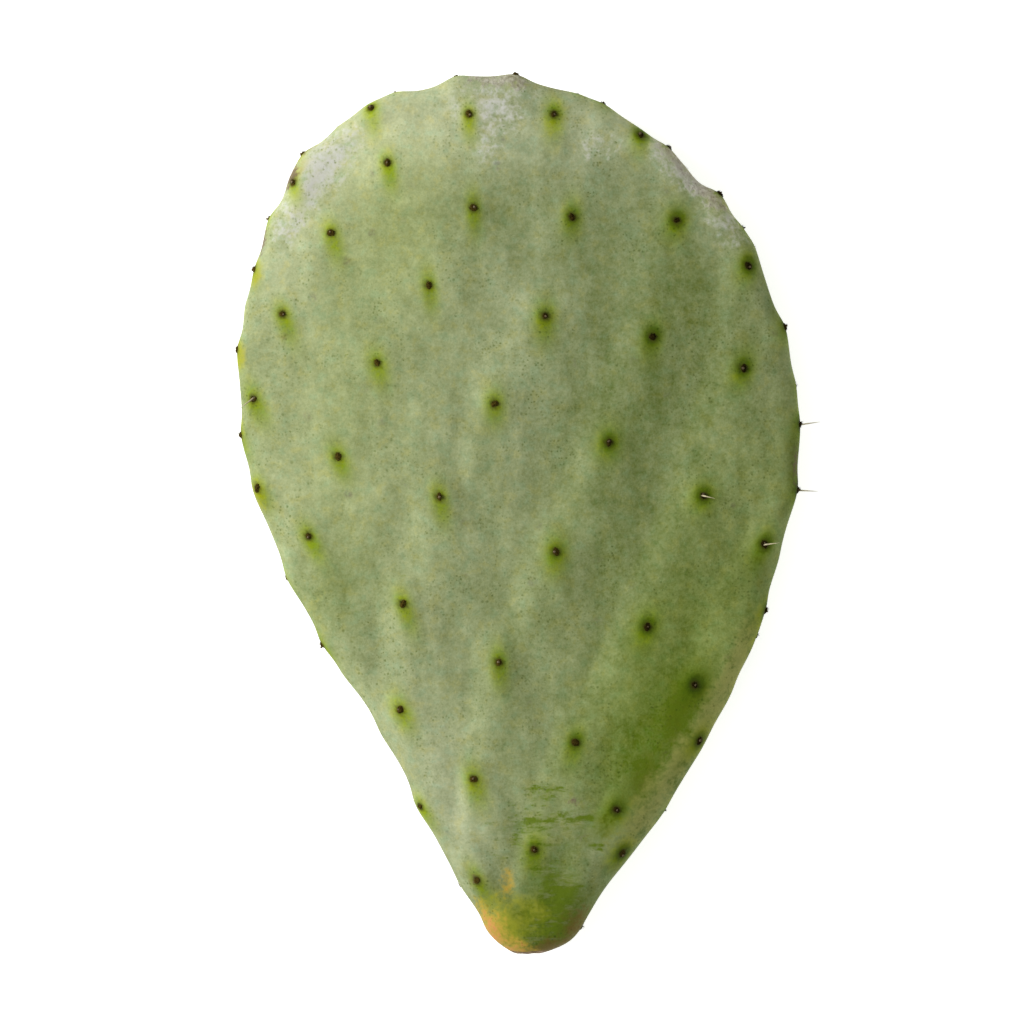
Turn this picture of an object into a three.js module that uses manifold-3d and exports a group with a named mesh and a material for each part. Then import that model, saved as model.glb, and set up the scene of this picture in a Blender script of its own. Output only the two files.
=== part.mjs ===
// A picked prickly pear pad, lying on its back face: one flat fleshy stem joint, with the areoles
// and the few spines that grow from it. Millimetres, +Z up, +Y from the stem end to the tip.
import * as THREE from "three";
import { mergeVertices } from "three/addons/utils/BufferGeometryUtils.js";
import Module from "manifold-3d";

const wasm = await Module();
wasm.setup();

// ---- driving dimensions: x runs across the pad and y up it, from the stem end at 0, 0 ----

const outlinePoints = [
  [1.5, 0], [14.5, 4], [20.8, 12.2], [26.1, 20.4], [43, 42.6], [64.3, 80.1], [77.6, 116.2],
  [85.2, 150], [83.3, 180], [72.8, 212.3], [63.3, 228.2], [52.9, 238.3], [37.2, 253.1], [24.1, 260.8],
  [8.1, 266.4], [-11.3, 269.4], [-28.9, 265.5], [-45.2, 261.1], [-58.4, 251], [-66.2, 243.8],
  [-72.1, 232.3], [-79.4, 214.6], [-84.7, 188], [-85, 168], [-82.6, 149.3], [-76.3, 129.9],
  [-65.6, 106.1], [-45.3, 73.9], [-37.1, 59.4], [-22.8, 30.6], [-16.9, 20.4], [-12.3, 12.7],
  [-9.7, 7.2], [-4.5, 2.4],
];

const body = {
  middle: 150, // the y of the thickest place
  crown: 6.4, // how far the middle of each face stands above its rim
  rimHalf: 4.2, // half the thickness just inside the rim of the blade
  stemHalf: 7.4, // and at the stem end
  rimRound: 6, // how far in from the outline the blade's rim is rounded
  stemRound: 10,
  stemFrom: 15, // the stem's section turns into the blade's between these two
  stemTo: 90,
  tipLift: 3, // the tip and the stem end curl up by this much
  twist: 1.2, // and one side of the tip by this much more than the other
  halfWidth: 85,
};

// The scar where the pad was picked off its parent: a shallow dish in the stem end.
const scar = { x: 3, across: 6.5, tall: 4, depth: 1 };

// A low tubercle runs down from each areole, along its row high on the blade and more towards the stem
// end lower down. Its left side is steep and its right side gentle.
const tubercle = {
  height: 2.2,
  rise: [-14, 0], // it rises between these distances down from its areole
  sink: [14, 50], // and sinks between these
  crest: 1, // its steep side starts this far to the left of its middle line
  steep: 11, // and is this wide
  gentle: 20,
  spread: 0.06, // the sides move out by this much for each millimetre down
  smallest: 0.55, // the size of those next to the stem end
  grow: [20, 125], // they grow to full size over these heights up the pad
  fade: 0.75, // and lose this much of their height towards the tip
  fadeFrom: 130,
  fadeTo: 242.5,
  back: 0.6, // the height of those on the back
  turnStem: 0.75, // how far the lower ones turn from their row towards the stem end
  turnFrom: [160, 210], // over these heights up the pad
};

// Each areole also stands on a bump that runs a little way down.
const bump = { height: 0.5, width: 3.4, tail: 5 };

// The rows of areoles up the front face, lowest first. The lowest tubercle runs to the root, and relief
// is the height of a row's tubercles against the usual one. A row's first areole is at the start of its
// line, and its steps are the distances along the line from each areole to the next.
const rows = [
  { line: [[-81.5, 170.5], [-72.5, 196.5], [-57.5, 221.5], [-40.5, 242.5], [-30, 264]],
    steps: [27.5, 29, 27.5, 24], root: [-80, 140], relief: 0.4 },
  { line: [[-64.5, 128.5], [-43.5, 181.5], [-14, 229], [-15.5, 258]],
    steps: [26, 31, 28.5, 27.5, 29], root: [-42, 73], relief: 0.4 },
  { line: [[-36.5, 75.5], [-35.5, 108], [-24.5, 140.5], [7.5, 195], [16, 225.5], [10.5, 257.5]],
    steps: [32.5, 34.5, 33, 31, 31.5, 32.5], root: [-20, 38], relief: 1.1 },
  { line: [[-13, 23.5], [-14, 54.5], [-6.5, 89.5], [11, 123.5], [40.5, 189], [48, 225]],
    steps: [31, 36.5, 38, 37, 35, 36.5], root: [-6, 8], relief: 1.15 },
  { line: [[4.5, 33], [17, 65.5], [39, 101], [68.5, 180], [70, 211.5]],
    steps: [35, 41.5, 43.5, 41, 31.5], root: [2, 12], relief: 0.9 },
  { line: [[29.5, 45], [53.5, 83], [75, 126]], steps: [45, 48], root: [18, 22], relief: 0.3 },
];
const fold = { head: [-28, 162], foot: [-22, 118], relief: 0.7 }; // a tubercle with no areole on it

// Areoles on the rim: distance along the outline from the stem end, first up the right side, the
// angle that each one is turned towards the front face, and the height of its bump.
const rimAreoles = [
  [20, -20, 0.5], [46, 75, 0.4], [64, -30, 0.5], [88, 60, 0.6], [105, -40, 0.8], [119, -50, 0.9],
  [125, -20, 0.8], [133, 5, 1.1], [148, -40, 0.6], [171, 5, 1.1], [191, 10, 0.7], [203, -25, 0.8],
  [221, 10, 1.4], [237, -50, 0.4], [247, -30, 1.4], [254, -20, 1.3], [266, 5, 2.2], [279, -30, 1],
  [287, -5, 1.6], [296, 50, 0.4], [311, -15, 1], [319, -25, 0.8], [339, 0, 1.6], [357, -20, 1.6],
  [376, -25, 1.3], [385, 50, 0.8], [397, -30, 0.8], [410, -5, 1.5], [419, 50, 1.3], [432, -10, 1.6],
  [448, 10, 0.9], [460, -30, 1.3], [473, 5, 1.7], [484, -45, 0.3], [499, 5, 1.2], [516, 50, 1.5],
  [545, -15, 1.1], [568, 5, 1.3], [579, -30, 1], [601, -35, 0.9], [624, -30, 0.8], [626, 40, 1],
  [653, -30, 0.7],
];

const backShift = 13; // the back's rows are the front's mirrored, and this much further up

// Areoles on the faces keep the clear distance from the outline.
const areole = { across: 1.4, along: 1.6, height: 1.1, sunk: 0.35, clear: 1.5, sides: 6, rings: 4 };

// The spines that are left. Heading is the compass angle from +X, and rise is above level.
const spine = { length: 6.2, base: 0.55, sunk: 1.4 };
const faceSpines = [
  { row: 0, place: 0, heading: 218, rise: 20 },
  { row: 4, place: 3, heading: -14, rise: 52 },
  { row: 5, place: 2, heading: 8, rise: 40 },
];
const rimSpines = [
  { place: 9, heading: -3, rise: 2 },
  { place: 10, heading: 8, rise: 2 },
];
const backSpines = [
  { row: 1, place: 0, heading: 20, rise: -14 },
  { row: 3, place: 5, heading: 150, rise: -16 },
  { row: 4, place: 1, heading: 200, rise: -14 },
];

const mesh = { around: 56, along: 50, packed: 0.18 }; // packed draws the points closer at the rim
const farOut = 100; // rays that find the surface start this far outside it

// How much of the back's lowest part is flattened by the pad's weight, and a floor wider than the pad.
const seat = { depth: 0.6, floor: [400, 700, 20] };

// ---- the smooth body ----

const { lerp, smoothstep, clamp } = THREE.MathUtils;
const outline = new THREE.CatmullRomCurve3(
  outlinePoints.map(([x, y]) => new THREE.Vector3(x, y, 0)), true, "centripetal");
outline.arcLengthDivisions = 1200;
const outlineSteps = 600;
const edge = outline.getSpacedPoints(outlineSteps);
const tipStep = edge.reduce((best, p, i) => (p.y > edge[best].y ? i : best), 0);
const tipShare = tipStep / outlineSteps;
const tipY = edge[tipStep].y;

// The x of one side of the outline at a height. first and last are steps along it, going up.
function sideAt(y, first, last) {
  const step = Math.sign(last - first);
  for (let i = first; i !== last; i += step) {
    const a = edge[i];
    const b = edge[i + step];
    if (b.y > a.y && y <= b.y) return lerp(a.x, b.x, clamp((y - a.y) / (b.y - a.y), 0, 1));
  }
  return edge[last].x;
}

function edgesAt(y) {
  return [sideAt(y, outlineSteps, tipStep), sideAt(y, 0, tipStep)];
}

function distanceToLine(x, y, points) {
  let best = Infinity;
  for (let i = 1; i < points.length; i++) {
    const a = points[i - 1];
    const dx = points[i].x - a.x;
    const dy = points[i].y - a.y;
    const share = clamp(((x - a.x) * dx + (y - a.y) * dy) / (dx * dx + dy * dy), 0, 1);
    best = Math.min(best, Math.hypot(x - a.x - share * dx, y - a.y - share * dy));
  }
  return best;
}

function halfThickness(x, y) {
  const blade = smoothstep(y, body.stemFrom, body.stemTo);
  const round = lerp(body.stemRound, body.rimRound, blade);
  const inward = Math.min(distanceToLine(x, y, edge) / round, 1);
  const rim = lerp(body.stemHalf, body.rimHalf, blade) * Math.sqrt(1 - (1 - inward) ** 2);
  const [left, right] = edgesAt(y);
  const across = clamp((2 * x - left - right) / Math.max(right - left, 1), -1, 1);
  const reach = y > body.middle ? tipY - body.middle : body.middle;
  const up = (y - body.middle) / reach;
  return rim + body.crown * (1 - across ** 2) * Math.max(1 - up ** 2, 0);
}

function midHeight(x, y) {
  const up = (y - body.middle) / body.middle;
  return body.tipLift * up ** 2 + (body.twist * up * x) / body.halfWidth;
}

// ---- rows of areoles, and the tubercles that run down from them ----

function areolesInRow({ line, steps }) {
  const points = line.map(([x, y]) => new THREE.Vector3(x, y, 0));
  const curve = new THREE.CatmullRomCurve3(points, false, "centripetal");
  const length = curve.getLength();
  let walked = 0;
  return [0, ...steps].map((step) => {
    walked += step;
    return curve.getPointAt(clamp(walked / length, 0, 1));
  });
}

function tubercleFrom(head, foot, height) {
  const down = new THREE.Vector3().subVectors(foot, head).normalize();
  const low = 1 - smoothstep(head.y, ...tubercle.turnFrom);
  down.lerp(head.clone().negate().normalize(), tubercle.turnStem * low).normalize();
  const size = lerp(tubercle.smallest, 1, smoothstep(head.y, ...tubercle.grow));
  const fade = 1 - tubercle.fade * smoothstep(head.y, tubercle.fadeFrom, tubercle.fadeTo);
  return { head, down, size, height: tubercle.height * height * size * fade };
}

const tubercles = rows.flatMap((row) => {
  const places = areolesInRow(row);
  const root = new THREE.Vector3(...row.root);
  return places.map((place, i) => tubercleFrom(place, places[i - 1] ?? root, row.relief));
});
tubercles.push(tubercleFrom(new THREE.Vector3(...fold.head), new THREE.Vector3(...fold.foot), fold.relief));

function mirroredToBack({ x, y }) {
  const [left, right] = edgesAt(y);
  const across = (2 * x - left - right) / (right - left);
  const backY = y + backShift;
  const [backLeft, backRight] = edgesAt(backY);
  return new THREE.Vector3((backLeft + backRight - across * (backRight - backLeft)) / 2, backY, 0);
}

function tubercleAt({ head, down, size, height }, x, y) {
  const below = (x - head.x) * down.x + (y - head.y) * down.y;
  const right = (y - head.y) * down.x - (x - head.x) * down.y;
  const start = (right < 0 ? tubercle.crest : 0) + tubercle.spread * Math.max(below, 0);
  const width = (right < 0 ? tubercle.steep : tubercle.gentle) * size;
  const aside = 1 - smoothstep(Math.abs(right), start, start + width);
  const along = smoothstep(below, ...tubercle.rise) * (1 - smoothstep(below / size, ...tubercle.sink));
  return height * along * aside;
}

// The height of the tubercles at a place. Those of the back are the front's, mirrored and moved up.
function relief(x, y, side) {
  const [left, right] = edgesAt(y);
  const [px, py] = side < 0 ? [left + right - x, y - backShift] : [x, y];
  const height = Math.cbrt(tubercles.reduce((sum, t) => sum + tubercleAt(t, px, py) ** 3, 0));
  return side < 0 ? tubercle.back * height : height;
}

// A sphere reshaped: its poles are the stem end and the tip, and its seams run along the rim.
function smoothPad() {
  const sphere = new THREE.SphereGeometry(1, mesh.around, mesh.along);
  const at = sphere.getAttribute("position");
  const p = new THREE.Vector3();
  for (let i = 0; i < at.count; i++) {
    p.fromBufferAttribute(at, i);
    const share = 1 - Math.acos(clamp(p.y, -1, 1)) / Math.PI;
    const level = Math.hypot(p.x, p.z);
    const side = level < 1e-6 || Math.abs(p.z) < 1e-6 ? 0 : Math.sign(p.z);
    const turned = level < 1e-6 ? 0 : Math.acos(clamp(p.x / level, -1, 1));
    const across = Math.cos(turned + mesh.packed * Math.sin(2 * turned));
    const right = outline.getPointAt(share * tipShare);
    const left = outline.getPointAt(1 - share * (1 - tipShare));
    const x = lerp(left.x, right.x, (1 + across) / 2);
    const y = lerp(left.y, right.y, (1 + across) / 2);
    const raised = side === 0 ? 0 : relief(x, y, side) * rimFade(x, y);
    at.setXYZ(i, x, y, midHeight(x, y) + side * (halfThickness(x, y) + raised));
  }
  return closed(sphere);
}

function rimFade(x, y) {
  return smoothstep(distanceToLine(x, y, edge), 0, 2 * body.rimRound);
}

function closed(geometry) {
  geometry.deleteAttribute("uv");
  geometry.deleteAttribute("normal");
  return mergeVertices(geometry, 1e-3);
}

// ---- areoles, on both faces and on the rim ----

function landOn(surface, from, toward) {
  const hit = new THREE.Raycaster(from, toward.clone().normalize()).intersectObject(surface)[0];
  return { place: hit.point, normal: hit.face.normal.clone() };
}

function faceAreoles(surface, side) {
  return rows.map((row) => areolesInRow(row)
    .map((place) => (side > 0 ? place : mirroredToBack(place)))
    .filter(({ x, y }) => y < tipY && distanceToLine(x, y, edge) > areole.clear)
    .map(({ x, y }) => ({
      ...landOn(surface, new THREE.Vector3(x, y, side * farOut), new THREE.Vector3(0, 0, -side)),
      height: bump.height,
    })));
}

function areolesOnRim(surface) {
  const around = outline.getLength();
  return rimAreoles.map(([distance, tilt, height]) => {
    const share = distance / around;
    const point = outline.getPointAt(share);
    const ahead = outline.getTangentAt(share);
    const turn = THREE.MathUtils.degToRad(tilt);
    const out = new THREE.Vector3(ahead.y * Math.cos(turn), -ahead.x * Math.cos(turn), Math.sin(turn));
    const core = point.clone().addScaledVector(new THREE.Vector3(ahead.y, -ahead.x, 0), -body.rimHalf);
    core.z = midHeight(point.x, point.y);
    const from = core.clone().addScaledVector(out, farOut);
    return { ...landOn(surface, from, out.clone().negate()), height };
  });
}

// Every vertex near an areole is pushed out along its normal, least far on the tip's side.
function raiseBumps(geometry, areoles) {
  geometry.computeVertexNormals();
  const at = geometry.getAttribute("position");
  const normals = geometry.getAttribute("normal");
  const p = new THREE.Vector3();
  const out = new THREE.Vector3();
  for (let i = 0; i < at.count; i++) {
    p.fromBufferAttribute(at, i);
    let height = 0;
    for (const a of areoles) {
      const away = p.clone().sub(a.place);
      const width = away.y < 0 ? Math.hypot(bump.width, bump.tail) : bump.width;
      const across = (away.x ** 2 + away.z ** 2) / bump.width ** 2;
      height += a.height * Math.exp(-0.5 * (across + (away.y / width) ** 2));
    }
    p.addScaledVector(out.fromBufferAttribute(normals, i), height);
    at.setXYZ(i, p.x, p.y, p.z);
  }
}

function asSolid(geometry) {
  const merged = closed(geometry.clone());
  return new wasm.Manifold(new wasm.Mesh({
    numProp: 3,
    vertProperties: new Float32Array(merged.getAttribute("position").array),
    triVerts: new Uint32Array(merged.index.array),
  }));
}

// Stands a shape that points along +Y at a place, pointing along a direction.
function standing(geometry, place, direction) {
  const turn = new THREE.Quaternion().setFromUnitVectors(new THREE.Vector3(0, 1, 0), direction);
  return geometry.applyQuaternion(turn).translate(place.x, place.y, place.z);
}

function areoleCushion({ place, normal }) {
  const dome = new THREE.SphereGeometry(1, areole.sides, areole.rings);
  dome.scale(areole.across, areole.height, areole.along);
  dome.translate(0, -areole.sunk, 0);
  return asSolid(standing(dome, place, normal));
}

function spineOn({ place, normal }, { heading, rise }) {
  const toward = new THREE.Vector3().setFromSphericalCoords(
    1, THREE.MathUtils.degToRad(90 - rise), THREE.MathUtils.degToRad(90 + heading));
  const direction = new THREE.Vector3(toward.x, -toward.z, toward.y).normalize();
  const needle = new THREE.ConeGeometry(spine.base, spine.length + spine.sunk, 3);
  needle.translate(0, (spine.length + spine.sunk) / 2 - spine.sunk, 0);
  const root = place.clone().addScaledVector(normal, areole.height - areole.sunk);
  return asSolid(standing(needle, root, direction));
}

// ---- the one fused piece ----

function cactusPad() {
  const skin = smoothPad();
  skin.computeBoundingBox();
  const floorHeight = skin.boundingBox.min.z + seat.depth;
  const surface = new THREE.Mesh(skin, new THREE.MeshBasicMaterial({ side: THREE.DoubleSide }));
  raiseBumps(skin, [...faceAreoles(surface, 1), ...faceAreoles(surface, -1), areolesOnRim(surface)].flat());
  skin.boundingSphere = null;

  const front = faceAreoles(surface, 1);
  const back = faceAreoles(surface, -1);
  const rim = areolesOnRim(surface);
  let solid = asSolid(skin);
  for (const a of [...front.flat(), ...back.flat(), ...rim]) solid = solid.add(areoleCushion(a));
  for (const s of faceSpines) solid = solid.add(spineOn(front[s.row][s.place], s));
  for (const s of backSpines) solid = solid.add(spineOn(back[s.row][s.place], s));
  for (const s of rimSpines) solid = solid.add(spineOn(rim[s.place], s));

  const dish = new THREE.SphereGeometry(1, 16, 8).scale(scar.across, scar.depth * 2, scar.tall);
  dish.translate(scar.x, -scar.depth, midHeight(scar.x, 0));
  solid = solid.subtract(asSolid(dish));

  // The floor flattens the middle of the back face, where the pad lies on it.
  const floor = new THREE.BoxGeometry(...seat.floor);
  floor.translate(0, body.middle, floorHeight - seat.floor[2] / 2);
  const { vertProperties, triVerts } = solid.subtract(asSolid(floor)).getMesh();
  const geometry = new THREE.BufferGeometry();
  geometry.setAttribute("position", new THREE.BufferAttribute(new Float32Array(vertProperties), 3));
  geometry.setIndex(new THREE.BufferAttribute(new Uint32Array(triVerts), 1));
  geometry.computeVertexNormals();
  return geometry;
}

const padSkin = new THREE.MeshStandardMaterial({ color: 0x93a26e, roughness: 0.62, metalness: 0 });
const pad = new THREE.Mesh(cactusPad(), padSkin);
pad.name = "cactus_pad";
pad.geometry.computeBoundingBox();
const middle = pad.geometry.boundingBox.getCenter(new THREE.Vector3());
// The part's origin is on the floor, under the middle of the pad.
pad.position.set(-middle.x, -middle.y, -pad.geometry.boundingBox.min.z);

const part = new THREE.Group();
part.add(pad);
export default part;
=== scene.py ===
import math
import random

import bpy
import numpy as np
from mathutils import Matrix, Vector, noise
from mathutils.bvhtree import BVHTree


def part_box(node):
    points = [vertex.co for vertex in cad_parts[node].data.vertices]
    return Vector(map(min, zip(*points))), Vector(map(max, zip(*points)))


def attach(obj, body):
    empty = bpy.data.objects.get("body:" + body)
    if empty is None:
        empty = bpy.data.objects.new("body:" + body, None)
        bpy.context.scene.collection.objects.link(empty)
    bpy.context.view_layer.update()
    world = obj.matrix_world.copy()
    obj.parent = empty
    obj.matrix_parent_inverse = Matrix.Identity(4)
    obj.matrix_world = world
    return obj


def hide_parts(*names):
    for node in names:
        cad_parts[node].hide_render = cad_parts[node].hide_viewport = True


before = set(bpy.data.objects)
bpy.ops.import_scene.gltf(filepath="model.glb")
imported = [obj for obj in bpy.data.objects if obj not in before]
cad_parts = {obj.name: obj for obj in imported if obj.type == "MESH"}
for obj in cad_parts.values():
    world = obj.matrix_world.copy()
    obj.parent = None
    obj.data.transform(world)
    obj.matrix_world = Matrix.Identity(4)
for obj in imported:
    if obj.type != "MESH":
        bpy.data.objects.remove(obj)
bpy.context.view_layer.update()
boxLow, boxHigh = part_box("cactus_pad")
print("frame loaded")

# The pad's form, in millimetres: x across it, y up it from the stem end, z out of its front face.
pad = {
    "outline": [
        (1.5, 0), (14.5, 4), (20.8, 12.2), (26.1, 20.4), (43, 42.6), (64.3, 80.1), (77.6, 116.2),
        (85.2, 150), (83.3, 180), (72.8, 212.3), (63.3, 228.2), (52.9, 238.3), (37.2, 253.1),
        (24.1, 260.8), (8.1, 266.4), (-11.3, 269.4), (-28.9, 265.5), (-45.2, 261.1), (-58.4, 251),
        (-66.2, 243.8), (-72.1, 232.3), (-79.4, 214.6), (-84.7, 188), (-85, 168), (-82.6, 149.3),
        (-76.3, 129.9), (-65.6, 106.1), (-45.3, 73.9), (-37.1, 59.4), (-22.8, 30.6), (-16.9, 20.4),
        (-12.3, 12.7), (-9.7, 7.2), (-4.5, 2.4),
    ],
    "middle": 150,          # the y of the thickest place
    "halfWidth": 85,
    "crown": 6.4,           # how far the middle of a face stands above its rim
    "rimHalf": 4.2,         # half the thickness just inside the rim
    "stemHalf": 7.4,
    "rimRound": 6,
    "stemRound": 10,
    "stemFrom": 15,         # the stem turns into the blade between these two
    "stemTo": 90,
    "tipLift": 3,
    "twist": 1.2,
    "bumpHeight": 0.5,      # each areole stands on a bump that runs a little way down
    "bumpWidth": 3.4,
    "bumpTail": 5,
    "areoleRise": 0.75,     # how far the felt stands off the skin
    "backShift": 13,        # the back's rows are the front's mirrored, this much further up
    "scar": (3, 6.5, 4, 1),     # the picking scar's middle, half width, half height and depth
    "scarWithin": 8,        # it lies no further than this from the stem end
    "pressed": 0.6,         # how much of the back's lowest part is flattened on the floor
    "dents": 0.22,          # soft unevenness of the flesh
    "dentSize": 24,
    "dentLayers": [(1, 1, 0), (0.45, 2.7, 9), (0.16, 7, 31)],   # strength, fineness and shift
    "dentFade": (1, 14),    # the dents come in over these distances from the outline
    "around": 350,          # points round the pad, and rings of them along it
    "along": 276,
    "crowding": 0.18,       # how far the points of a ring crowd towards the rim
}

# A low tubercle runs down from each areole, along its row high on the blade and more towards the stem
# end lower down. It is steep to its left and gentle to its right.
tubercle = {
    "height": 2.2,
    "rise": (-14, 0),       # it rises between these distances down from its areole
    "sink": (14, 50),       # and sinks between these
    "crest": 1,             # the steep side starts this far to the left
    "steep": 11,            # and is this wide
    "gentle": 20,
    "spread": 0.06,         # the sides move out by this much for each millimetre down
    "smallest": 0.55,       # the size of those next to the stem end
    "grow": (20, 125),      # they grow to full size over these heights up the pad
    "fade": 0.75,           # and lose this much of their height towards the tip
    "fadeFrom": 130,
    "back": 0.6,            # the height of those on the back
    "turnStem": 0.75,       # how far the lower ones turn from their row towards the stem end
    "turnFrom": (160, 210), # over these heights up the pad
}

# The rows of areoles up the front, lowest first. The lowest tubercle runs to the root, relief is the
# height of a row's tubercles, and the steps are the distances along its line between neighbours.
rows = [
    {"line": [(-81.5, 170.5), (-72.5, 196.5), (-57.5, 221.5), (-40.5, 242.5), (-30, 264)],
     "steps": [27.5, 29, 27.5, 24], "root": (-80, 140), "relief": 0.4},
    {"line": [(-64.5, 128.5), (-43.5, 181.5), (-14, 229), (-15.5, 258)],
     "steps": [26, 31, 28.5, 27.5, 29], "root": (-42, 73), "relief": 0.4},
    {"line": [(-36.5, 75.5), (-35.5, 108), (-24.5, 140.5), (7.5, 195), (16, 225.5), (10.5, 257.5)],
     "steps": [32.5, 34.5, 33, 31, 31.5, 32.5], "root": (-20, 38), "relief": 1.1},
    {"line": [(-13, 23.5), (-14, 54.5), (-6.5, 89.5), (11, 123.5), (40.5, 189), (48, 225)],
     "steps": [31, 36.5, 38, 37, 35, 36.5], "root": (-6, 8), "relief": 1.15},
    {"line": [(4.5, 33), (17, 65.5), (39, 101), (68.5, 180), (70, 211.5)],
     "steps": [35, 41.5, 43.5, 41, 31.5], "root": (2, 12), "relief": 0.9},
    {"line": [(29.5, 45), (53.5, 83), (75, 126)], "steps": [45, 48], "root": (18, 22), "relief": 0.3},
]
fold = {"head": (-28, 162), "foot": (-22, 118), "relief": 0.7}  # a tubercle with no areole on it

# Areoles on the rim: distance along the outline, up the right side first, the turn towards the
# front, and the height of the bump.
rimAreoles = [
    (20, -20, 0.5), (46, 75, 0.4), (64, -30, 0.5), (88, 60, 0.6), (105, -40, 0.8), (119, -50, 0.9),
    (125, -20, 0.8), (133, 5, 1.1), (148, -40, 0.6), (171, 5, 1.1), (191, 10, 0.7), (203, -25, 0.8),
    (221, 10, 1.4), (237, -50, 0.4), (247, -30, 1.4), (254, -20, 1.3), (266, 5, 2.2), (279, -30, 1),
    (287, -5, 1.6), (296, 50, 0.4), (311, -15, 1), (319, -25, 0.8), (339, 0, 1.6), (357, -20, 1.6),
    (376, -25, 1.3), (385, 50, 0.8), (397, -30, 0.8), (410, -5, 1.5), (419, 50, 1.3), (432, -10, 1.6),
    (448, 10, 0.9), (460, -30, 1.3), (473, 5, 1.7), (484, -45, 0.3), (499, 5, 1.2), (516, 50, 1.5),
    (545, -15, 1.1), (568, 5, 1.3), (579, -30, 1), (601, -35, 0.9), (624, -30, 0.8), (626, 40, 1),
    (653, -30, 0.7),
]


def smoothLine(points, closed, count):
    # a smooth line through the points, given back as evenly spaced places and its length
    p = np.array(points, float)
    if closed:
        ring = np.vstack([p[-1:], p, p[:2]])
    else:
        ring = np.vstack([2 * p[:1] - p[1:2], p, 2 * p[-1:] - p[-2:-1]])
    t = np.linspace(0, 1, 60, endpoint=False)[:, None]
    parts = []
    for a, b, c, d in zip(ring, ring[1:], ring[2:], ring[3:]):
        ab, bc, cd = [np.linalg.norm(v) ** 0.5 for v in (b - a, c - b, d - c)]
        leave = ((b - a) / ab - (c - a) / (ab + bc) + (c - b) / bc) * bc
        arrive = ((c - b) / bc - (d - b) / (bc + cd) + (d - c) / cd) * bc
        bend = 3 * (c - b) - 2 * leave - arrive
        parts.append(b + leave * t + bend * t ** 2 + (2 * (b - c) + leave + arrive) * t ** 3)
    dense = np.vstack(parts + [ring[-2:-1]])
    walked = np.concatenate([[0], np.cumsum(np.linalg.norm(np.diff(dense, axis=0), axis=1))])
    even = np.linspace(0, walked[-1], count)
    return np.column_stack([np.interp(even, walked, dense[:, k]) for k in (0, 1)]), walked[-1]


def smoothStep(low, high, x):
    t = np.clip((x - low) / (high - low), 0, 1)
    return t * t * (3 - 2 * t)


def unit(v):
    return v / np.linalg.norm(v)


def rightwardBy(look, x):
    # 0 on the left of the pad, 1 on the right, changing between the two places that the look gives
    return smoothStep(look["from"], look["to"], x)


def distanceTo(line, x, y):
    best = np.full(np.shape(x), 1e9)
    for a, b in zip(line, line[1:]):
        step = b - a
        share = np.clip(((x - a[0]) * step[0] + (y - a[1]) * step[1]) / (step @ step), 0, 1)
        best = np.minimum(best, np.hypot(x - a[0] - share * step[0], y - a[1] - share * step[1]))
    return best


edge, edgeLength = smoothLine(pad["outline"], True, 601)
tipStep = int(edge[:, 1].argmax())
tipShare = tipStep / (len(edge) - 1)
tipY = edge[tipStep, 1]


def placeOn(line, share):
    at = np.asarray(share) * (len(line) - 1)
    return [np.interp(at, np.arange(len(line)), line[:, k]) for k in (0, 1)]


def edgesAt(y):
    right = np.interp(y, edge[:tipStep + 1, 1], edge[:tipStep + 1, 0])
    left = np.interp(y, edge[:tipStep - 1:-1, 1], edge[:tipStep - 1:-1, 0])
    return left, right


def halfThickness(x, y, inward):
    blade = smoothStep(pad["stemFrom"], pad["stemTo"], y)
    roundness = pad["stemRound"] + (pad["rimRound"] - pad["stemRound"]) * blade
    rim = pad["stemHalf"] + (pad["rimHalf"] - pad["stemHalf"]) * blade
    rim = rim * np.sqrt(np.clip(1 - (1 - np.minimum(inward / roundness, 1)) ** 2, 0, 1))
    left, right = edgesAt(y)
    across = np.clip((2 * x - left - right) / np.maximum(right - left, 1), -1, 1)
    reach = np.where(y > pad["middle"], tipY - pad["middle"], pad["middle"])
    up = (y - pad["middle"]) / reach
    return rim + pad["crown"] * (1 - across ** 2) * np.maximum(1 - up ** 2, 0)


def midHeight(x, y):
    up = (y - pad["middle"]) / pad["middle"]
    return pad["tipLift"] * up ** 2 + pad["twist"] * up * x / pad["halfWidth"]


def areolesInRow(row):
    line, length = smoothLine(row["line"], False, 401)
    walked = np.concatenate([[0], np.cumsum(row["steps"])])
    return np.column_stack(placeOn(line, np.clip(walked / length, 0, 1)))


def tubercleFrom(head, foot, height):
    head, foot = np.array(head, float), np.array(foot, float)
    down = unit(foot - head)
    turn = tubercle["turnStem"] * (1 - smoothStep(*tubercle["turnFrom"], head[1]))
    down = down + turn * (-unit(head) - down)
    size = tubercle["smallest"] + (1 - tubercle["smallest"]) * smoothStep(*tubercle["grow"], head[1])
    fade = 1 - tubercle["fade"] * smoothStep(tubercle["fadeFrom"], 0.9 * tipY, head[1])
    return head, unit(down), size, tubercle["height"] * height * size * fade


def findTubercles():
    found = [tubercleFrom(fold["head"], fold["foot"], fold["relief"])]
    for row in rows:
        places = areolesInRow(row)
        feet = [row["root"], *places]
        found += [tubercleFrom(head, foot, row["relief"]) for head, foot in zip(places, feet)]
    return found


tubercles = findTubercles()


def toFront(x, y):
    # where a place on the back lies on the front's pattern of rows
    left, right = edgesAt(y)
    return left + right - x, y - pad["backShift"]


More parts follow.
